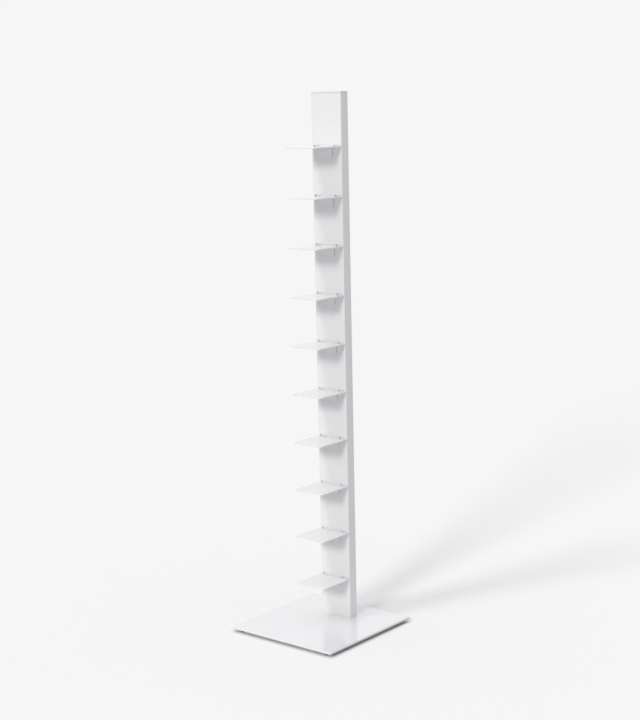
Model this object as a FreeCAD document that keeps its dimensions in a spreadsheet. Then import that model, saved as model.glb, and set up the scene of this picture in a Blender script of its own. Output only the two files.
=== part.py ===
import FreeCAD, Part
import math
import os
import Sketcher

# Spine bookshelf: a base plate on rubber feet, a rectangular column behind its middle, and ten short
# shelves that hook into slots in the column's front face. Millimetres, +Z up, front towards -Y, origin
# on the floor under the middle of the base plate.

doc = FreeCAD.newDocument("spine_bookshelf")
sheet = doc.addObject("Spreadsheet::Sheet", "dims")

# alias, size in millimetres (or a count), what it measures
DRIVING_DIMENSIONS = (
    ("total_high", 1460, "floor to the top of the cap"),
    ("plate_side", 350, "side of the square base plate"),
    ("plate_thick", 6, "base plate thickness"),
    ("plate_edge", 0.8, "eased edges of the base plate"),
    ("foot_high", 9, "rubber foot, floor to plate"),
    ("foot_wide", 22, "foot diameter"),
    ("foot_inset", 25, "plate edge to the middle of a foot"),
    ("foot_well_wide", 10, "well under the foot for the screw head"),
    ("foot_well_deep", 5, "depth of that well"),
    ("foot_bore", 4.8, "hole through the foot for its screw"),
    ("washer_wide", 9.4, "washer outside diameter"),
    ("washer_bore", 4.4, "washer hole"),
    ("washer_thick", 1, "washer thickness"),
    ("foot_screw_wide", 4, "foot screw, thread outside diameter"),
    ("foot_screw_long", 8, "foot screw, length under the head"),
    ("foot_screw_head", 7, "foot screw, head diameter"),
    ("foot_screw_head_high", 2.6, "foot screw, head height"),
    ("foot_screw_key", 2.5, "foot screw, hexagon socket across flats"),
    ("foot_tap_deep", 4, "tapped foot hole in the plate, depth"),
    ("base_screw_wide", 6, "base screw, thread outside diameter"),
    ("base_screw_long", 16, "base screw, overall length"),
    ("base_screw_head", 11.3, "base screw, countersunk head diameter"),
    ("base_screw_sunk", 0.6, "base screw head below the plate's underside"),
    ("base_screw_key", 4, "base screw, hexagon socket across flats"),
    ("base_screw_socket", 2.2, "base screw, socket depth"),
    ("base_hole", 6.6, "clearance hole in the plate"),
    ("thread_play", 0.1, "gap drawn between a thread and its tapped hole"),
    ("base_hole_apart", 64, "base screws, distance between their middles"),
    ("block_high", 12, "foot block height"),
    ("block_corner", 2, "foot block corner chamfer"),
    ("column_wide", 100, "column tube width"),
    ("column_deep", 30, "column tube depth"),
    ("column_wall", 2, "column tube wall"),
    ("column_corner", 3, "column tube outside corner radius"),
    ("column_face", 68, "column's front face behind the plate's middle"),
    ("cap_head", 4, "top cap, visible thickness"),
    ("cap_edge", 0.6, "top cap, eased top edge"),
    ("cap_skirt_long", 18, "top cap, skirt length inside the tube"),
    ("cap_skirt_wall", 2, "top cap, skirt wall"),
    ("cap_skirt_play", 0.8, "top cap, gap between skirt and tube"),
    ("cap_fin_play", 0.3, "top cap, gap between fins and tube"),
    ("cap_fin_thick", 1, "top cap, thickness of one fin"),
    ("cap_fin_pitch", 5, "top cap, fin spacing"),
    ("cap_fin_count", 3, "top cap, number of fins"),
    ("shelf_count", 10, "number of shelves"),
    ("shelf_lowest", 129, "floor to the top of the lowest shelf"),
    ("shelf_pitch", 132, "shelf spacing"),
    ("shelf_wide", 100, "shelf width"),
    ("shelf_deep", 110, "shelf depth in front of the column"),
    ("shelf_thick", 3, "shelf sheet thickness"),
    ("shelf_corner", 6, "shelf front corner radius"),
    ("bend_inner", 1, "inside radius of the shelf's bends"),
    ("leg_wide", 40, "width of the leg below a shelf"),
    ("leg_long", 28, "leg length, from the shelf's top face"),
    ("leg_corner", 2, "leg bottom corner chamfer"),
    ("relief_wide", 2, "relief cut beside the leg's bend"),
    ("relief_deep", 8, "relief cut depth from the column"),
    ("hook_wide", 18, "width of one hook"),
    ("hook_apart", 68, "distance between the two hooks' middles"),
    ("hook_rise", 10, "hook tip above the shelf's top face"),
    ("hook_play", 0.1, "gap between the hook and the column's inner wall"),
    ("slot_play", 1, "gap between a hook and each end of its slot"),
    ("slot_high", 6, "slot height"),
)
for row, (alias, size, meaning) in enumerate(DRIVING_DIMENSIONS, start=1):
    sheet.set(f"A{row}", meaning)
    sheet.set(f"B{row}", str(size))
    sheet.setAlias(f"B{row}", alias)
doc.recompute()

PLATE_TOP = "(dims.foot_high + dims.plate_thick)"
COLUMN_MIDDLE = "(dims.column_face + dims.column_deep / 2)"
TUBE_LONG = f"(dims.total_high - {PLATE_TOP} - dims.cap_head)"
BORE_WIDE = "(dims.column_wide - 2 * dims.column_wall)"
BORE_DEEP = "(dims.column_deep - 2 * dims.column_wall)"
BEND_OUTER = "(dims.bend_inner + dims.shelf_thick)"
FOOT_OFFSET = "(dims.plate_side / 2 - dims.foot_inset)"
BASE_HOLES = (("left", "-dims.base_hole_apart / 2"), ("right", "dims.base_hole_apart / 2"))
HEX_CORNER = 1 / math.cos(math.radians(30))


# ---------------------------------------------------------------- drawing helpers

def read(expression):
    """Number that a sheet expression stands for, in millimetres."""
    result = sheet.evalExpression(str(expression))
    return float(getattr(result, "Value", result))


def new_body(label):
    body = doc.addObject("PartDesign::Body", label)
    body.Label = label
    return body


def place(thing, x="0", y="0", z="0"):
    """Bind a body's position to sheet expressions."""
    for axis, expression in zip("xyz", (x, y, z)):
        thing.setExpression(f"Placement.Base.{axis}", expression)


def origin_plane(body, role):
    return next(plane for plane in body.Origin.OriginFeatures if plane.Role == role)


def add_sketch(body, name, role="XY_Plane", lift="0"):
    """Sketch on one of the body's origin planes, lifted along that plane's normal."""
    sketch = body.newObject("Sketcher::SketchObject", name)
    sketch.AttachmentSupport = (origin_plane(body, role), [""])
    sketch.MapMode = "FlatFace"
    sketch.setExpression("AttachmentOffset.Base.z", lift)
    return sketch


def size(sketch, kind, name, expression, *geometry):
    """Dimension that follows a sheet expression."""
    index = sketch.addConstraint(Sketcher.Constraint(kind, *geometry, read(expression)))
    sketch.renameConstraint(index, name)
    sketch.setExpression(f"Constraints.{name}", expression)


def outline(sketch, corners):
    """Closed outline of straight lines; every corner is a pair of sheet expressions."""
    first = sketch.GeometryCount
    points = [FreeCAD.Vector(read(x), read(y), 0) for x, y in corners]
    following = points[1:] + points[:1]
    lines = [Part.LineSegment(start, end) for start, end in zip(points, following)]
    sketch.addGeometry(lines, False)
    for i, (x, y) in enumerate(corners):
        line = first + i
        sketch.addConstraint(Sketcher.Constraint("Coincident", line, 2, first + (i + 1) % len(corners), 1))
        for axis, alignment, expression in (("X", "Vertical", x), ("Y", "Horizontal", y)):
            if expression == "0":
                sketch.addConstraint(Sketcher.Constraint(alignment, -1, 1, line, 1))
            else:
                size(sketch, f"Distance{axis}", f"{axis.lower()}{line}", expression, -1, 1, line, 1)


def rectangle(sketch, wide, deep, middle_x="0", middle_y="0"):
    """Rectangle with square corners about a middle point."""
    left, right = (f"{middle_x} {sign} {wide} / 2" for sign in "-+")
    low, high = (f"{middle_y} {sign} {deep} / 2" for sign in "-+")
    outline(sketch, ((left, low), (right, low), (right, high), (left, high)))


def rounded_rectangle(sketch, name, wide, deep, corner):
    """Rectangle with round corners about the sketch's origin; its sizes are sheet expressions."""
    first = sketch.GeometryCount
    radius = read(corner)
    half_x = read(wide) / 2 - radius
    half_y = read(deep) / 2 - radius
    turns = ((half_x, -half_y, -90), (half_x, half_y, 0), (-half_x, half_y, 90), (-half_x, -half_y, 180))
    normal = FreeCAD.Vector(0, 0, 1)
    arcs = []
    for x, y, start in turns:
        round_corner = Part.Circle(FreeCAD.Vector(x, y, 0), normal, radius)
        arcs.append(Part.ArcOfCircle(round_corner, math.radians(start), math.radians(start + 90)))
    for before, after in zip(arcs[-1:] + arcs[:-1], arcs):
        sketch.addGeometry(Part.LineSegment(before.EndPoint, after.StartPoint), False)
        sketch.addGeometry(after, False)
    for side in range(4):
        line = first + 2 * side
        arc = line + 1
        next_line = first + (2 * side + 2) % 8
        sketch.addConstraint(Sketcher.Constraint("Tangent", line, 2, arc, 1))
        sketch.addConstraint(Sketcher.Constraint("Tangent", arc, 2, next_line, 1))
        sketch.addConstraint(Sketcher.Constraint("Horizontal" if side % 2 == 0 else "Vertical", line))
        if side:
            sketch.addConstraint(Sketcher.Constraint("Equal", first + 1, arc))
    bottom, right, left = first, first + 2, first + 6
    size(sketch, "Radius", f"{name}_corner", corner, first + 1)
    size(sketch, "DistanceX", f"{name}_wide", wide, left, 2, right, 1)
    size(sketch, "DistanceY", f"{name}_deep", deep, bottom, 1, first + 4, 1)
    size(sketch, "DistanceX", f"{name}_right", f"{wide} / 2", -1, 1, right, 1)
    size(sketch, "DistanceY", f"{name}_bottom", f"-{deep} / 2", -1, 1, bottom, 1)


def circle(sketch, name, diameter, x="0", y="0"):
    """Circle with its middle at a pair of sheet expressions."""
    middle = FreeCAD.Vector(read(x), read(y), 0)
    index = sketch.addGeometry(Part.Circle(middle, FreeCAD.Vector(0, 0, 1), read(diameter) / 2), False)
    size(sketch, "Diameter", f"{name}_wide", diameter, index)
    if x == "0" and y == "0":
        sketch.addConstraint(Sketcher.Constraint("Coincident", index, 3, -1, 1))
    else:
        size(sketch, "DistanceX", f"{name}_x", x, -1, 1, index, 3)
        size(sketch, "DistanceY", f"{name}_y", y, -1, 1, index, 3)


def pad(body, sketch, length, back=False, both_ways=False):
    feature = body.newObject("PartDesign::Pad", f"{sketch.Name}_pad")
    feature.Profile = sketch
    feature.setExpression("Length", length)
    feature.Reversed = back
    feature.Midplane = both_ways
    doc.recompute()
    return feature


def turn(body, sketch):
    """Revolve a half outline about the body's Z axis."""
    feature = body.newObject("PartDesign::Revolution", f"{sketch.Name}_turned")
    feature.Profile = sketch
    feature.ReferenceAxis = (sketch, ["V_Axis"])
    feature.Angle = 360
    doc.recompute()
    return feature


def cut(body, sketch, length, back=False):
    """Pocket that has to take material away."""
    before = body.Shape.Volume
    feature = body.newObject("PartDesign::Pocket", f"{sketch.Name}_cut")
    feature.Profile = sketch
    feature.setExpression("Length", length)
    feature.Reversed = back
    doc.recompute()
    if body.Shape.Volume >= before:
        raise RuntimeError(f"{sketch.Name} cuts nothing")
    return feature


def repeat(body, feature, direction, pitch, count):
    """Row of copies of one feature along a body axis."""
    pattern = body.newObject("PartDesign::LinearPattern", f"{feature.Name}_row")
    pattern.Originals = [feature]
    pattern.Direction = (origin_plane(body, direction), [""])
    pattern.setExpression("Occurrences", count)
    pattern.setExpression("Length", f"{pitch} * ({count} - 1)")
    body.Tip = pattern
    doc.recompute()
    return pattern


def edges_where(shape, test):
    """Names of the edges whose middle passes the test."""
    named = enumerate(shape.Edges, start=1)
    return [f"Edge{number}" for number, edge in named if test(edge.CenterOfMass, edge)]


def soften(body, kind, label, amount, test):
    """Fillet or chamfer the edges that pass the test."""
    base = body.Tip
    names = edges_where(base.Shape, test)
    if not names:
        raise RuntimeError(f"{label} finds no edge")
    feature = body.newObject(f"PartDesign::{kind}", label)
    feature.Base = (base, names)
    feature.setExpression("Radius" if kind == "Fillet" else "Size", amount)
    doc.recompute()
    return feature


def near(a, b):
    return abs(a - b) < 0.001


def group(label, members):
    """Identical fasteners as one node of separate solids."""
    compound = doc.addObject("Part::Compound", label)
    compound.Label = label
    compound.Links = members
    return compound


def foot_places():
    """Name and position expressions of the four feet, their screws and washers."""
    for depth_name, sign_y in (("front", "-"), ("rear", "")):
        for side_name, sign_x in (("left", "-"), ("right", "")):
            yield f"{depth_name}_{side_name}", f"{sign_x}{FOOT_OFFSET}", f"{sign_y}{FOOT_OFFSET}"


# ---------------------------------------------------------------- base

def base_plate():
    """Square plate: countersunk holes for the column, blind tapped holes for the feet, eased edges."""
    body = new_body("base_plate")
    place(body, z="dims.foot_high")
    square = add_sketch(body, "plate_outline")
    rectangle(square, "dims.plate_side", "dims.plate_side")
    pad(body, square, "dims.plate_thick")
    soften(body, "Chamfer", "plate_arris", "dims.plate_edge", lambda middle, edge: True)

    column_holes = add_sketch(body, "column_holes")
    sinks = add_sketch(body, "column_sinks")
    sink_wide = "(dims.base_screw_head + 2 * dims.base_screw_sunk)"
    for name, x in BASE_HOLES:
        circle(column_holes, name, "dims.base_hole", x, COLUMN_MIDDLE)
        circle(sinks, name, sink_wide, x, COLUMN_MIDDLE)
    cut(body, column_holes, "dims.plate_thick", back=True)
    sink = cut(body, sinks, f"({sink_wide} - dims.base_hole) / 2", back=True)
    sink.TaperAngle = -45
    doc.recompute()

    foot_holes = add_sketch(body, "foot_holes")
    for name, x, y in foot_places():
        circle(foot_holes, name, "dims.foot_screw_wide + 2 * dims.thread_play", x, y)
    cut(body, foot_holes, "dims.foot_tap_deep", back=True)
    return body


def rubber_foot(label, x, y):
    """Round foot with a well under it for the screw head."""
    body = new_body(label)
    place(body, x, y)
    half = add_sketch(body, f"{label}_half", "XZ_Plane")
    outline(half, (
        ("dims.foot_well_wide / 2", "0"),
        ("dims.foot_wide / 2", "0"),
        ("dims.foot_wide / 2", "dims.foot_high"),
        ("dims.foot_bore / 2", "dims.foot_high"),
        ("dims.foot_bore / 2", "dims.foot_well_deep"),
        ("dims.foot_well_wide / 2", "dims.foot_well_deep"),
    ))
    turn(body, half)
    return body


def foot_washer(label, x, y):
    """Flat washer at the top of the foot's well."""
    body = new_body(label)
    place(body, x, y, "dims.foot_well_deep - dims.washer_thick")
    ring = add_sketch(body, f"{label}_ring")
    circle(ring, "outside", "dims.washer_wide")
    circle(ring, "bore", "dims.washer_bore")
    pad(body, ring, "dims.washer_thick")
    return body


def foot_screw(label, x, y):
    """Low-head socket screw, head down; its thread is drawn as a plain cylinder."""
    body = new_body(label)
    place(body, x, y, "dims.foot_well_deep - dims.washer_thick")
    half = add_sketch(body, f"{label}_half", "XZ_Plane")
    outline(half, (
        ("0", "-dims.foot_screw_head_high"),
        ("dims.foot_screw_head / 2", "-dims.foot_screw_head_high"),
        ("dims.foot_screw_head / 2", "0"),
        ("dims.foot_screw_wide / 2", "0"),
        ("dims.foot_screw_wide / 2", "dims.foot_screw_long"),
        ("0", "dims.foot_screw_long"),
    ))
    turn(body, half)
    hexagon_socket(body, f"{label}_socket", "dims.foot_screw_key", "-dims.foot_screw_head_high",
                   "dims.foot_screw_head_high / 2")
    return body


def hexagon_socket(body, label, across_flats, lift, deep):
    """Hexagon recess cut upwards into a screw head."""
    before = body.Shape.Volume
    prism = body.newObject("PartDesign::SubtractivePrism", label)
    prism.AttachmentSupport = (origin_plane(body, "XY_Plane"), [""])
    prism.MapMode = "FlatFace"
    prism.setExpression("AttachmentOffset.Base.z", lift)
    prism.Polygon = 6
    prism.setExpression("Circumradius", f"{across_flats} / 2 * {HEX_CORNER}")
    prism.setExpression("Height", deep)
    doc.recompute()
    if body.Shape.Volume >= before:
        raise RuntimeError(f"{label} cuts nothing")


def base_screw(label, x):
    """Countersunk screw, head down in the plate's underside, its thread in the foot block."""
    body = new_body(label)
    place(body, x, COLUMN_MIDDLE, "dims.foot_high")
    half = add_sketch(body, f"{label}_half", "XZ_Plane")
    cone_end = "(dims.base_screw_sunk + (dims.base_screw_head - dims.base_screw_wide) / 2)"
    tip = "(dims.base_screw_sunk + dims.base_screw_long)"
    outline(half, (
        ("0", "dims.base_screw_sunk"),
        ("dims.base_screw_head / 2", "dims.base_screw_sunk"),
        ("dims.base_screw_wide / 2", cone_end),
        ("dims.base_screw_wide / 2", tip),
        ("0", tip),
    ))
    turn(body, half)
    hexagon_socket(body, f"{label}_socket", "dims.base_screw_key", "dims.base_screw_sunk",
                   "dims.base_screw_socket")
    return body


# ---------------------------------------------------------------- column

def column_tube():
    """Rectangular tube with two rows of hook slots in its front wall."""
    body = new_body("column_tube")
    place(body, y=COLUMN_MIDDLE, z=PLATE_TOP)
    section = add_sketch(body, "tube_section")
    rounded_rectangle(section, "outside", "dims.column_wide", "dims.column_deep", "dims.column_corner")
    rounded_rectangle(section, "bore", BORE_WIDE, BORE_DEEP, "dims.column_corner - dims.column_wall")
    pad(body, section, TUBE_LONG)

    slots = add_sketch(body, "hook_slots", "XZ_Plane")
    slot_wide = "(dims.hook_wide + 2 * dims.slot_play)"
    slot_middle = f"dims.shelf_lowest - dims.shelf_thick + dims.slot_high / 2 - {PLATE_TOP}"
    for side in ("-dims.hook_apart / 2", "dims.hook_apart / 2"):
        rectangle(slots, slot_wide, "dims.slot_high", side, slot_middle)
    slot_pair = cut(body, slots, "dims.column_deep", back=True)
    repeat(body, slot_pair, "Z_Axis", "dims.shelf_pitch", "dims.shelf_count")
    return body


def column_foot_block():
    """Tapped steel block, welded inside the foot of the tube."""
    body = new_body("column_foot_block")
    place(body, y=COLUMN_MIDDLE, z=PLATE_TOP)
    section = add_sketch(body, "block_section")
    rectangle(section, BORE_WIDE, BORE_DEEP)
    pad(body, section, "dims.block_high")
    half_high = read("dims.block_high") / 2
    soften(body, "Chamfer", "block_corners", "dims.block_corner", lambda middle, edge: near(middle.z, half_high))
    holes = add_sketch(body, "block_holes")
    for name, x in BASE_HOLES:
        circle(holes, name, "dims.base_screw_wide + 2 * dims.thread_play", x)
    cut(body, holes, "dims.block_high", back=True)
    return body


def column_top_cap():
    """Moulded plug: a head as large as the tube, and a hollow skirt with fins that grip inside it."""
    body = new_body("column_top_cap")
    place(body, y=COLUMN_MIDDLE, z="dims.total_high - dims.cap_head")
    head = add_sketch(body, "cap_head_outline")
    rounded_rectangle(head, "head", "dims.column_wide", "dims.column_deep", "dims.column_corner")
    pad(body, head, "dims.cap_head")
    top = read("dims.cap_head")
    soften(body, "Chamfer", "cap_top_edge", "dims.cap_edge", lambda middle, edge: near(middle.z, top))

    skirt = add_sketch(body, "cap_skirt")
    skirt_wide = f"({BORE_WIDE} - 2 * dims.cap_skirt_play)"
    skirt_deep = f"({BORE_DEEP} - 2 * dims.cap_skirt_play)"
    hollow_wide = f"({skirt_wide} - 2 * dims.cap_skirt_wall)"
    hollow_deep = f"({skirt_deep} - 2 * dims.cap_skirt_wall)"
    rectangle(skirt, skirt_wide, skirt_deep)
    rectangle(skirt, hollow_wide, hollow_deep)
    pad(body, skirt, "dims.cap_skirt_long", back=True)

    fin = add_sketch(body, "cap_fin", lift="-dims.cap_fin_pitch")
    rectangle(fin, f"({BORE_WIDE} - 2 * dims.cap_fin_play)", f"({BORE_DEEP} - 2 * dims.cap_fin_play)")
    rectangle(fin, hollow_wide, hollow_deep)
    first_fin = pad(body, fin, "dims.cap_fin_thick", back=True)
    fins = repeat(body, first_fin, "Z_Axis", "dims.cap_fin_pitch", "dims.cap_fin_count")
    fins.Reversed = True
    doc.recompute()
    return body


# ---------------------------------------------------------------- shelves

def shelf(label, index):
    """Bent steel shelf: a flat tongue, a leg bent down against the column's face, and two hooks that pass
    through the column's slots and bend up behind its front wall. The tongue rises to fit it and swings
    down to lock; the load then presses the leg and the hooks against the wall from both sides."""
    body = new_body(label)
    place(body, y="dims.column_face", z=f"dims.shelf_lowest + {index} * dims.shelf_pitch")

    tongue = add_sketch(body, f"{label}_tongue")
    half_wide = "dims.shelf_wide / 2"
    half_relief = "(dims.leg_wide / 2 + dims.relief_wide)"
    outline(tongue, (
        (f"-{half_wide}", "-dims.shelf_deep"),
        (half_wide, "-dims.shelf_deep"),
        (half_wide, "0"),
        (half_relief, "0"),
        (half_relief, "-dims.relief_deep"),
        (f"-{half_relief}", "-dims.relief_deep"),
        (f"-{half_relief}", "0"),
        (f"-{half_wide}", "0"),
    ))
    pad(body, tongue, "dims.shelf_thick", back=True)
    front = -read("dims.shelf_deep")
    soften(body, "Fillet", f"{label}_front_corners", "dims.shelf_corner",
           lambda middle, edge: near(middle.y, front) and near(edge.Length, read("dims.shelf_thick")))

    leg = add_sketch(body, f"{label}_leg", "YZ_Plane")
    outline(leg, (
        ("-dims.relief_deep", "0"),
        ("0", "0"),
        ("0", "-dims.leg_long"),
        ("-dims.shelf_thick", "-dims.leg_long"),
        ("-dims.shelf_thick", "-dims.shelf_thick"),
        ("-dims.relief_deep", "-dims.shelf_thick"),
    ))
    pad(body, leg, "dims.leg_wide", both_ways=True)

    hook = add_sketch(body, f"{label}_hook", "YZ_Plane", lift="dims.hook_apart / 2")
    hook_front = "(dims.column_wall + dims.hook_play)"
    hook_back = f"({hook_front} + dims.shelf_thick)"
    outline(hook, (
        ("-dims.relief_wide", "0"),
        (hook_front, "0"),
        (hook_front, "dims.hook_rise"),
        (hook_back, "dims.hook_rise"),
        (hook_back, "-dims.shelf_thick"),
        ("-dims.relief_wide", "-dims.shelf_thick"),
    ))
    right_hook = pad(body, hook, "dims.hook_wide", both_ways=True)
    left_hook = body.newObject("PartDesign::Mirrored", f"{label}_hook_pair")
    left_hook.Originals = [right_hook]
    left_hook.MirrorPlane = (origin_plane(body, "YZ_Plane"), [""])
    body.Tip = left_hook
    doc.recompute()

    thick = read("dims.shelf_thick")
    back = read(hook_back)
    wall = read(hook_front)
    leg_half = read("dims.leg_wide") / 2
    leg_end = -read("dims.leg_long")

    def outer_bend(middle, edge):
        leg_bend = near(middle.x, 0) and near(middle.y, 0) and near(middle.z, 0)
        hook_bend = near(middle.y, back) and near(middle.z, -thick)
        return leg_bend or hook_bend

    def inner_bend(middle, edge):
        leg_bend = near(middle.x, 0) and near(middle.y, -thick) and near(middle.z, -thick)
        hook_bend = near(middle.y, wall) and near(middle.z, 0)
        return leg_bend or hook_bend

    soften(body, "Fillet", f"{label}_outer_bends", BEND_OUTER, outer_bend)
    soften(body, "Fillet", f"{label}_inner_bends", "dims.bend_inner", inner_bend)
    soften(body, "Chamfer", f"{label}_leg_corners", "dims.leg_corner",
           lambda middle, edge: near(abs(middle.x), leg_half) and near(middle.z, leg_end))
    return body


# ---------------------------------------------------------------- assembly

nodes = [base_plate()]
nodes += [rubber_foot(f"rubber_foot_{name}", x, y) for name, x, y in foot_places()]
for group_name, maker in (("foot_washers", foot_washer), ("foot_screws", foot_screw)):
    members = [maker(f"{group_name}_{name}", x, y) for name, x, y in foot_places()]
    nodes.append(group(group_name, members))
nodes.append(group("base_screws", [base_screw(f"base_screws_{name}", x) for name, x in BASE_HOLES]))
nodes += [column_tube(), column_foot_block(), column_top_cap()]
nodes += [shelf(f"shelf_{index + 1:02d}", index) for index in range(int(read("dims.shelf_count")))]
doc.recompute()

for thing in doc.Objects:
    if "Invalid" in thing.State or "Error" in thing.State:
        raise RuntimeError(f"{thing.Label} failed to compute: {thing.State}")
os.makedirs("parts", exist_ok=True)
for node in nodes:
    if node.Shape.isNull() or not node.Shape.isValid():
        raise RuntimeError(f"{node.Label} has no valid shape")
    node.Shape.exportStep(f"parts/{node.Label}.step")
    print(f"{node.Label}: {len(node.Shape.Solids)} solid(s), {node.Shape.Volume / 1000:.2f} cm3")
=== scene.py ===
import math

import bmesh
import bpy
from mathutils import Matrix, Vector


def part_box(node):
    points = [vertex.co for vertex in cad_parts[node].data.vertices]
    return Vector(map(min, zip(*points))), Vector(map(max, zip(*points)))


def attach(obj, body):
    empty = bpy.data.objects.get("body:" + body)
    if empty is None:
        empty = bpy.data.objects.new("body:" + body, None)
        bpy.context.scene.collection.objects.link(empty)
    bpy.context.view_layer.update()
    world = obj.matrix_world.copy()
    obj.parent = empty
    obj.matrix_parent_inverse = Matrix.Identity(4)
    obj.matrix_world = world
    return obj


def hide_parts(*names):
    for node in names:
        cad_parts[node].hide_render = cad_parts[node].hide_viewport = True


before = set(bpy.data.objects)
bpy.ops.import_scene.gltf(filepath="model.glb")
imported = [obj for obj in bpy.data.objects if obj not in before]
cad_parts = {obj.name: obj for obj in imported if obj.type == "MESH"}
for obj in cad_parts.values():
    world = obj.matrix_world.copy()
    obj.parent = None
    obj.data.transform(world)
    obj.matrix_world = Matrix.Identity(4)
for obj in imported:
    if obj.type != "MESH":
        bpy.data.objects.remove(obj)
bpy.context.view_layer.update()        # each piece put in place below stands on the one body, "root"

# ---------------------------------------------------------------- base plate
# A square of 6 mm steel plate with eased edges, white powder coat baked on over all of it. Two countersunk
# holes behind its middle take the column's screws, and four tapped holes in its underside take the feet's.

MM = 0.001


def add_node(tree, kind, inputs=(), **settings):
    """One node of a tree. Each input takes a plain value, or the output of another node."""
    node = tree.nodes.new(kind)
    for setting, value in settings.items():
        setattr(node, setting, value)
    for socket, value in dict(inputs).items():
        if isinstance(value, bpy.types.NodeSocket):
            tree.links.new(value, node.inputs[socket])
        else:
            node.inputs[socket].default_value = value
    return node


def new_finish(name, **constants):
    """Material with its plain numbers set on the shader's own sockets. Returns it, its tree, its shader and
    the place on the piece."""
    material = bpy.data.materials.new(name)
    material.use_nodes = True
    tree = material.node_tree
    shader = tree.nodes["Principled BSDF"]
    for socket, value in constants.items():
        shader.inputs[socket.replace("_", " ")].default_value = value
    place = add_node(tree, "ShaderNodeTexCoord").outputs["Object"]
    return material, tree, shader, place


def grain(tree, place, per_metre, low, high, detail=2.0):
    """Noise of so many grains to the metre, with its usual range spread over low to high."""
    usual_low, usual_high = 0.3, 0.7
    noise = add_node(tree, "ShaderNodeTexNoise", {"Vector": place, "Scale": per_metre, "Detail": detail})
    spread = add_node(tree, "ShaderNodeMapRange", {
        "Value": noise.outputs["Fac"],
        "From Min": usual_low, "From Max": usual_high, "To Min": low, "To Max": high})
    return spread.outputs["Result"]


def tint(tree, amount, first, second):
    """Colour between two colours. The numbers are the places of a mix's colour sockets."""
    factor, colour_a, colour_b, mixed = 0, 6, 7, 2
    mix = add_node(tree, "ShaderNodeMix", {
        factor: amount, colour_a: (*first, 1), colour_b: (*second, 1)}, data_type="RGBA")
    return mix.outputs[mixed]


def paint(tree, shader, colour, roughness):
    """Colour and roughness that change over the surface."""
    tree.links.new(colour, shader.inputs["Base Color"])
    tree.links.new(roughness, shader.inputs["Roughness"])


def roughen(tree, shader, height, deep):
    """Relief as deep as given, in metres."""
    bump = add_node(tree, "ShaderNodeBump", {"Height": height, "Distance": deep, "Strength": 1.0})
    tree.links.new(bump.outputs["Normal"], shader.inputs["Normal"])
    return bump


def white_powder_coat():
    """Satin film: faint drift of tone with its thickness, fine orange peel, and a smooth baked skin."""
    thin_film, thick_film = (0.848, 0.841, 0.868), (0.862, 0.855, 0.882)
    material, tree, shader, place = new_finish(
        "white_powder_coat", IOR=1.5, Coat_Weight=1.0, Coat_Roughness=0.08, Coat_IOR=1.55)
    drift = grain(tree, place, per_metre=9.0, low=0.0, high=1.0, detail=3.0)
    satin = grain(tree, place, per_metre=30.0, low=0.20, high=0.24)
    paint(tree, shader, tint(tree, drift, thin_film, thick_film), satin)
    peel = grain(tree, place, per_metre=300.0, low=0.0, high=1.0, detail=0.0)
    bump = roughen(tree, shader, peel, deep=0.005 * MM)
    tree.links.new(bump.outputs["Normal"], shader.inputs["Coat Normal"])
    return material


def merge_flat_faces(mesh, close):
    """Points as close as given become one, and faces that lie in one plane become one whole face."""
    nearly_flat = math.radians(0.5)
    shape = bmesh.new()
    shape.from_mesh(mesh)
    bmesh.ops.remove_doubles(shape, verts=shape.verts, dist=close)
    bmesh.ops.dissolve_limit(shape, angle_limit=nearly_flat, verts=shape.verts, edges=shape.edges)
    shape.to_mesh(mesh)
    shape.free()


def clean_mesh(node, name):
    """The CAD piece's triangles merged back to whole flat faces."""
    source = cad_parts[node].data
    points = [point.co for point in source.vertices]
    triangles = [face.vertices for face in source.polygons]
    mesh = bpy.data.meshes.new(name)
    mesh.from_pydata(points, [], triangles)
    merge_flat_faces(mesh, close=0.001 * MM)
    return mesh


def put_in_place(name, mesh, material, stands_for, edge, steps=3):
    """Piece that rides on the root and stands for a CAD node, its sharp edges rounded over by so much."""
    sharp = math.radians(25)
    piece = bpy.data.objects.new(name, mesh)
    bpy.context.scene.collection.objects.link(piece)
    mesh.materials.clear()
    mesh.materials.append(material)
    mesh.shade_smooth()
    rounding = piece.modifiers.new("rounded_edges", "BEVEL")
    rounding.width = edge
    rounding.segments = steps
    rounding.limit_method = "ANGLE"
    rounding.angle_limit = sharp
    rounding.harden_normals = True
    rounding.use_clamp_overlap = False
    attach(piece, "root")
    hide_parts(stands_for)


coat = white_powder_coat()
put_in_place("coated_base_plate", clean_mesh("base_plate", "coated_base_plate"), coat,
             "base_plate", edge=0.25 * MM)

# ---------------------------------------------------------------- rubber feet
# Four round feet moulded in black rubber. Each has a bore through its middle and a well in its underside,
# where a screw and a washer hold it to the base plate.


def black_rubber():
    """Matt moulded rubber with a bloom that dulls it unevenly."""
    clean, bloomed = (0.02, 0.02, 0.021), (0.042, 0.042, 0.044)
    material, tree, shader, place = new_finish("black_rubber", IOR=1.52, Specular_IOR_Level=0.4)
    bloom = grain(tree, place, per_metre=120.0, low=0.0, high=1.0, detail=4.0)
    matt = grain(tree, place, per_metre=300.0, low=0.62, high=0.8)
    paint(tree, shader, tint(tree, bloom, clean, bloomed), matt)
    roughen(tree, shader, grain(tree, place, per_metre=1800.0, low=0.0, high=1.0), deep=0.02 * MM)
    return material


rubber = black_rubber()
for corner in ("front_left", "front_right", "rear_left", "rear_right"):
    node = f"rubber_foot_{corner}"
    name = f"moulded_foot_{corner}"
    put_in_place(name, clean_mesh(node, name), rubber, node, edge=0.6 * MM, steps=4)

# ---------------------------------------------------------------- foot washers
# Four round washers pressed from steel sheet and zinc plated. Each lies in the well of its foot and spreads
# the load of the screw's head on the rubber.

round_sides = 48


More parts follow.
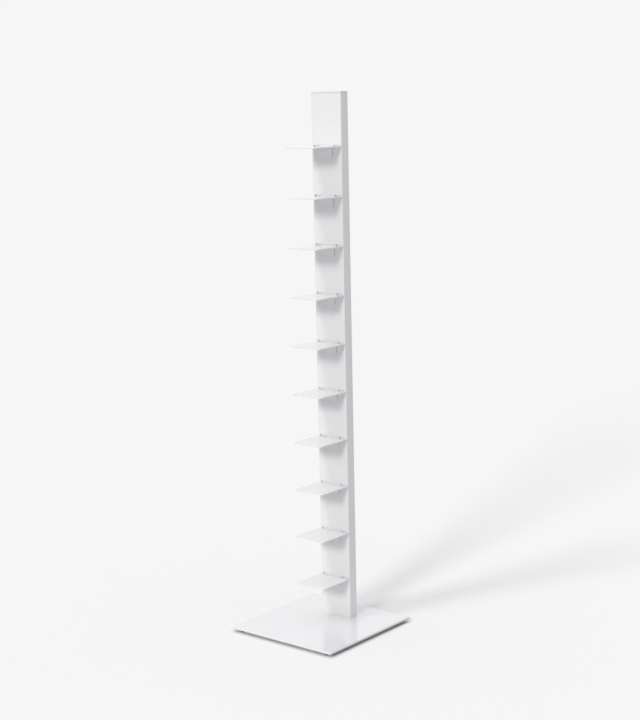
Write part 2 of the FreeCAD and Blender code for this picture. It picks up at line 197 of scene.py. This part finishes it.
def zinc_plate():
    """Bright zinc over turned or pressed steel: small crystals, and a slight uneven dulling."""
    bright, dull = (0.66, 0.67, 0.69), (0.54, 0.55, 0.58)
    material, tree, shader, place = new_finish("zinc_plated_steel", Metallic=1.0)
    crystals = add_node(tree, "ShaderNodeTexVoronoi", {"Vector": place, "Scale": 900.0})
    dulling = grain(tree, place, per_metre=500.0, low=0.24, high=0.42)
    paint(tree, shader, tint(tree, crystals.outputs["Distance"], bright, dull), dulling)
    roughen(tree, shader, grain(tree, place, per_metre=1500.0, low=0.0, high=1.0), deep=0.004 * MM)
    return material


def open_tree(name, sizes):
    """Geometry tree with a named input for each size. Returns it, its inputs and their identifiers."""
    tree = bpy.data.node_groups.new(name, "GeometryNodeTree")
    keys = {}
    for size in sizes:
        socket = tree.interface.new_socket(name=size, in_out="INPUT", socket_type="NodeSocketFloat")
        keys[size] = socket.identifier
    tree.interface.new_socket(name="Geometry", in_out="OUTPUT", socket_type="NodeSocketGeometry")
    return tree, tree.nodes.new("NodeGroupInput").outputs, keys


def work_out(tree, operation, first, second):
    """Result of an operation on two values of a tree."""
    return add_node(tree, "ShaderNodeMath", {0: first, 1: second}, operation=operation).outputs[0]


def half(tree, size):
    """Half of a size of a tree."""
    return work_out(tree, "MULTIPLY", size, 0.5)


def shift(tree, geometry, x=0.0, y=0.0, z=0.0):
    """Geometry moved by so much."""
    offset = add_node(tree, "ShaderNodeCombineXYZ", {"X": x, "Y": y, "Z": z}).outputs[0]
    move = add_node(tree, "GeometryNodeTransform", {"Geometry": geometry, "Translation": offset})
    return move.outputs["Geometry"]


def rod(tree, across, long, start, sides=round_sides):
    """Upright rod from a height upwards, round or with flat sides, so wide across its corners."""
    body = add_node(tree, "GeometryNodeMeshCylinder", {
        "Vertices": sides, "Radius": half(tree, across), "Depth": long})
    middle = work_out(tree, "ADD", start, half(tree, long))
    return shift(tree, body.outputs["Mesh"], z=middle)


def cut_away(tree, solid, tool):
    """Solid with the tool's shape taken out of it."""
    difference = add_node(tree, "GeometryNodeMeshBoolean", {"Mesh 1": solid, "Mesh 2": tool},
                          operation="DIFFERENCE", solver="EXACT")
    return difference.outputs["Mesh"]


def four_points(tree, spacing):
    """The middles of the four feet."""
    square = {"Size X": spacing, "Size Y": spacing, "Vertices X": 2, "Vertices Y": 2}
    return add_node(tree, "GeometryNodeMeshGrid", square).outputs["Mesh"]


def finish_tree(tree, points, part, material):
    """Sets one part on every point, as one plain mesh."""
    instances = add_node(tree, "GeometryNodeInstanceOnPoints", {"Points": points, "Instance": part})
    real = add_node(tree, "GeometryNodeRealizeInstances", {"Geometry": instances.outputs["Instances"]})
    painted = add_node(tree, "GeometryNodeSetMaterial", {
        "Geometry": real.outputs["Geometry"], "Material": material})
    add_node(tree, "NodeGroupOutput", {"Geometry": painted.outputs["Geometry"]})


def grow(name, tree, keys, sizes):
    """The tree's result for these sizes, as a plain mesh."""
    grower = bpy.data.objects.new(name, bpy.data.meshes.new(name))
    bpy.context.scene.collection.objects.link(grower)
    modifier = grower.modifiers.new(name, "NODES")
    modifier.node_group = tree
    for size, value in sizes.items():
        modifier[keys[size]] = value
    grown = bpy.data.meshes.new_from_object(grower.evaluated_get(bpy.context.evaluated_depsgraph_get()))
    grown.name = name
    bpy.data.objects.remove(grower)
    merge_flat_faces(grown, close=0.01 * MM)
    return grown


zinc = zinc_plate()
foot_low, foot_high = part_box("rubber_foot_front_left")
foot_spacing = -(foot_low.x + foot_high.x)
washer_low, washer_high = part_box("foot_washers")
washer_sizes = {
    "Spacing": foot_spacing,
    "Outside": washer_high.x - washer_low.x - foot_spacing,
    "Bore": 4.4 * MM,
    "Underside": washer_low.z,
    "Thickness": washer_high.z - washer_low.z,
}
tree, given, keys = open_tree("washers", washer_sizes)
disc = rod(tree, given["Outside"], given["Thickness"], given["Underside"])

# The drill starts one thickness below the washer and ends one above it.
drill_long = work_out(tree, "MULTIPLY", given["Thickness"], 3.0)
drill_start = work_out(tree, "SUBTRACT", given["Underside"], given["Thickness"])
drill = rod(tree, given["Bore"], drill_long, drill_start)
finish_tree(tree, four_points(tree, given["Spacing"]), cut_away(tree, disc, drill), zinc)
put_in_place("pressed_washers", grow("pressed_washers", tree, keys, washer_sizes), zinc,
             "foot_washers", edge=0.12 * MM, steps=2)

# ---------------------------------------------------------------- foot screws
# Four low-head socket screws, turned from steel and zinc plated. Each goes up through its washer and foot
# into a tapped hole in the base plate.


def join_solids(tree, *solids):
    """Solids made one."""
    union = add_node(tree, "GeometryNodeMeshBoolean", operation="UNION", solver="EXACT")
    for solid in solids:
        tree.links.new(solid, union.inputs["Mesh 2"])
    return union.outputs["Mesh"]


def across_corners(across_flats):
    """Width of a hexagonal socket over its corners, from the size of its key."""
    return across_flats / math.cos(math.radians(30))


screw_low, screw_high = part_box("foot_screws")
foot_screw_sizes = {
    "Spacing": foot_spacing,
    "Head": screw_high.x - screw_low.x - foot_spacing,
    "Head height": washer_low.z - screw_low.z,
    "Thread": 4 * MM,
    "Underside": screw_low.z,
    "Length": screw_high.z - screw_low.z,
    "Key": across_corners(2.5 * MM),
}
tree, given, keys = open_tree("foot_screws", foot_screw_sizes)
head = rod(tree, given["Head"], given["Head height"], given["Underside"])

# The thread starts inside the head, half of the head up, so that the two join without a seam.
half_head = half(tree, given["Head height"])
thread_long = work_out(tree, "SUBTRACT", given["Length"], half_head)
thread_start = work_out(tree, "ADD", given["Underside"], half_head)
thread = rod(tree, given["Thread"], thread_long, thread_start)
socket_start = work_out(tree, "SUBTRACT", given["Underside"], half_head)
socket = rod(tree, given["Key"], given["Head height"], socket_start, sides=6)
screw = cut_away(tree, join_solids(tree, head, thread), socket)
finish_tree(tree, four_points(tree, given["Spacing"]), screw, zinc)
put_in_place("low_head_foot_screws", grow("low_head_foot_screws", tree, keys, foot_screw_sizes), zinc,
             "foot_screws", edge=0.15 * MM, steps=2)

# ---------------------------------------------------------------- column foot block
# A block sawn from bare steel bar and milled, welded inside the foot of the column and tapped for its two
# screws. The tube and the base plate hide it.


def machined_steel():
    """Milled steel: fine feed lines across the block and a thin film of oil."""
    groove, crest = (0.40, 0.40, 0.41), (0.46, 0.46, 0.47)
    material, tree, shader, place = new_finish("bare_steel", Metallic=1.0, Coat_Weight=0.15)
    feed = add_node(tree, "ShaderNodeTexWave", {"Vector": place, "Scale": 400.0, "Distortion": 1.5})
    lines = feed.outputs["Fac"]
    dulling = grain(tree, place, per_metre=350.0, low=0.3, high=0.5)
    paint(tree, shader, tint(tree, lines, groove, crest), dulling)
    roughen(tree, shader, lines, deep=0.01 * MM)
    return material


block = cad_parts["column_foot_block"]
block.data.materials.clear()
block.data.materials.append(machined_steel())

# ---------------------------------------------------------------- base screws
# Two countersunk socket screws of zinc-plated steel. They go up through the base plate into the column's
# foot block and pull the column tight on to the plate.

base_screw_low, base_screw_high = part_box("base_screws")
base_screw_head = base_screw_high.y - base_screw_low.y
base_screw_sizes = {
    "Spacing": base_screw_high.x - base_screw_low.x - base_screw_head,
    "Back": (base_screw_low.y + base_screw_high.y) / 2,
    "Head": base_screw_head,
    "Thread": 6 * MM,
    "Underside": base_screw_low.z,
    "Length": base_screw_high.z - base_screw_low.z,
    "Key": across_corners(4 * MM),
    "Key depth": 2.2 * MM,
}
tree, given, keys = open_tree("base_screws", base_screw_sizes)
head_radius = half(tree, given["Head"])
thread_radius = half(tree, given["Thread"])
cone_long = work_out(tree, "SUBTRACT", head_radius, thread_radius)
cone = add_node(tree, "GeometryNodeMeshCone", {
    "Vertices": round_sides, "Radius Top": thread_radius, "Radius Bottom": head_radius,
    "Depth": cone_long})
cone = shift(tree, cone.outputs["Mesh"], z=given["Underside"])

# The thread starts inside the cone, half of the cone up.
half_cone = half(tree, cone_long)
thread_long = work_out(tree, "SUBTRACT", given["Length"], half_cone)
thread_start = work_out(tree, "ADD", given["Underside"], half_cone)
thread = rod(tree, given["Thread"], thread_long, thread_start)
socket_long = work_out(tree, "MULTIPLY", given["Key depth"], 2.0)
socket_start = work_out(tree, "SUBTRACT", given["Underside"], given["Key depth"])
socket = rod(tree, given["Key"], socket_long, socket_start, sides=6)
screw = cut_away(tree, join_solids(tree, cone, thread), socket)

# The two screws stand at the ends of a line, whose far end is given in the socket called Offset.
right_end = half(tree, given["Spacing"])
left_end = work_out(tree, "MULTIPLY", right_end, -1.0)
left_place = add_node(tree, "ShaderNodeCombineXYZ", {"X": left_end, "Y": given["Back"]}).outputs[0]
right_place = add_node(tree, "ShaderNodeCombineXYZ", {"X": right_end, "Y": given["Back"]}).outputs[0]
ends = add_node(tree, "GeometryNodeMeshLine", {
    "Count": 2, "Start Location": left_place, "Offset": right_place}, mode="END_POINTS")
finish_tree(tree, ends.outputs["Mesh"], screw, zinc)
put_in_place("countersunk_base_screws", grow("countersunk_base_screws", tree, keys, base_screw_sizes),
             zinc, "base_screws", edge=0.15 * MM, steps=2)

# ---------------------------------------------------------------- column
# A 100 x 30 steel tube with crisp corners, powder coated like the plate. Two rows of slots cut in its
# front wall take the shelves' hooks.

drawn_corner = 3 * MM        # corner radius of the CAD tube
crisp_corner = 1.2 * MM      # corner radius of the tube as it looks


def sharpen_corners(mesh, node):
    """The round upright corners of a piece of the column, tightened. Its size and its bore stay."""
    low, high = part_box(node)
    middle = (low + high) / 2
    centre = Vector((high.x - middle.x - drawn_corner, high.y - middle.y - drawn_corner))
    tightening = drawn_corner - crisp_corner
    outside_bore = tightening + 0.1 * MM      # the bore's corners are nearer to the centre than this
    slack = 0.001 * MM                        # rounding error in the points
    for point in mesh.vertices:
        side_x = math.copysign(1, point.co.x - middle.x)
        side_y = math.copysign(1, point.co.y - middle.y)
        out = Vector((abs(point.co.x - middle.x), abs(point.co.y - middle.y))) - centre
        if min(out) > -slack and out.length > outside_bore:
            out += Vector((tightening, tightening)) - out.normalized() * tightening
            point.co.x = middle.x + side_x * (centre.x + out.x)
            point.co.y = middle.y + side_y * (centre.y + out.y)
    return mesh


column = sharpen_corners(clean_mesh("column_tube", "coated_column"), "column_tube")
put_in_place("coated_column", column, coat, "column_tube", edge=0.3 * MM)

# ---------------------------------------------------------------- top cap
# A plug moulded in matt white plastic and pressed into the open top of the tube. Its head closes the
# tube, and its skirt and fins grip the walls inside.


def white_plastic():
    """Matt moulded plastic, a shade greyer than the coat, with a spark-eroded grain."""
    darker, paler = (0.73, 0.73, 0.74), (0.76, 0.76, 0.77)
    material, tree, shader, place = new_finish("white_plastic", IOR=1.46)
    flow = grain(tree, place, per_metre=40.0, low=0.0, high=1.0, detail=3.0)
    matt = grain(tree, place, per_metre=400.0, low=0.5, high=0.62)
    paint(tree, shader, tint(tree, flow, darker, paler), matt)
    roughen(tree, shader, grain(tree, place, per_metre=2200.0, low=0.0, high=1.0), deep=0.01 * MM)
    return material


cap = sharpen_corners(clean_mesh("column_top_cap", "moulded_top_cap"), "column_top_cap")
put_in_place("moulded_top_cap", cap, white_plastic(), "column_top_cap",
             edge=0.2 * MM, steps=4)

# ---------------------------------------------------------------- shelves
# Ten shelves laser cut from 3 mm steel sheet, bent to a tongue, a leg against the column and two hooks
# through its slots, then powder coated. They lift out.

shelf_count = 10
for number in range(1, shelf_count + 1):
    node = f"shelf_{number:02d}"
    name = f"coated_{node}"
    put_in_place(name, clean_mesh(node, name), coat, node, edge=0.4 * MM)

# ---------------------------------------------------------------- floor and light
# A plain, dull, pale studio floor that runs out of sight, two soft lamps in front of the column, one high
# and one low, a wide soft light overhead, and a pale surround of the floor's own tone.

surround = (0.9216, 0.9216, 0.9216)
ambient = (0.30, 0.30, 0.30)
floor_glow = (0.58, 0.58, 0.59)
floor_half = 60.0


def studio_floor():
    """Dull pale floor, which throws less light on to the bookshelf than it shows."""
    material, tree, shader, _ = new_finish("studio_floor", Roughness=0.9, Specular_IOR_Level=0.0)
    bounced = add_node(tree, "ShaderNodeLightPath").outputs["Is Diffuse Ray"]
    tree.links.new(tint(tree, bounced, surround, floor_glow), shader.inputs["Base Color"])
    return material


floor_mesh = bpy.data.meshes.new("studio_floor")
corners = [(x * floor_half, y * floor_half, 0) for x, y in ((-1, -1), (1, -1), (1, 1), (-1, 1))]
floor_mesh.from_pydata(corners, [], [(0, 1, 2, 3)])
floor_mesh.materials.append(studio_floor())
floor = bpy.data.objects.new("studio_floor", floor_mesh)
bpy.context.scene.collection.objects.link(floor)

world = bpy.data.worlds.new("studio")
bpy.context.scene.world = world
world.use_nodes = True
tree = world.node_tree
path = add_node(tree, "ShaderNodeLightPath").outputs
seen = work_out(tree, "MAXIMUM", path["Is Camera Ray"], path["Is Glossy Ray"])
seen = work_out(tree, "MAXIMUM", seen, path["Is Transmission Ray"])
tree.links.new(tint(tree, seen, ambient, surround), tree.nodes["Background"].inputs["Color"])


def studio_lamp(name, turned, raised, share, spread):
    """Lamp far off, turned to the right of the front and raised above the floor by so many degrees. Share
    is the light that a surface square to it gets, 1 for a full white, and spread is how wide it looks.
    The coat mirrors the pale surround and not the lamps, so no face turns to a plain white glare."""
    full_white = math.pi
    lamp = bpy.data.lights.new(name, "SUN")
    lamp.energy = full_white
    lamp.color = share
    lamp.angle = math.radians(spread)
    holder = bpy.data.objects.new(name, lamp)
    around = Matrix.Rotation(math.radians(turned), 4, "Z")
    holder.matrix_world = around @ Matrix.Rotation(math.radians(90 - raised), 4, "X")
    holder.visible_glossy = False
    bpy.context.scene.collection.objects.link(holder)


studio_lamp("low_front_lamp", turned=10, raised=25, share=(0.39, 0.394, 0.363), spread=14)
studio_lamp("high_front_lamp", turned=-18, raised=50, share=(0.19, 0.193, 0.176), spread=11)
studio_lamp("overhead_light", turned=0, raised=90, share=(0.390, 0.386, 0.413), spread=80)

# ---------------------------------------------------------------- camera
# It stands to the right of the front, about as high as the column, and looks a little down. The colours
# are shown as they are.

stand = (2.5626, -3.0813, 1.4307)
heading, tilt, lean = math.radians(39.564), math.radians(9.646), math.radians(-1.254)
camera = bpy.data.objects.new("camera", bpy.data.cameras.new("camera"))
camera.data.lens = 75.61
camera.data.sensor_width = 36
camera.data.clip_end = 500
aim = Matrix.Rotation(heading, 4, "Z") @ Matrix.Rotation(math.pi / 2 - tilt, 4, "X")
camera.matrix_world = Matrix.Translation(stand) @ aim @ Matrix.Rotation(lean, 4, "Z")
bpy.context.scene.collection.objects.link(camera)
bpy.context.scene.camera = camera
bpy.context.scene.view_settings.view_transform = "Standard"
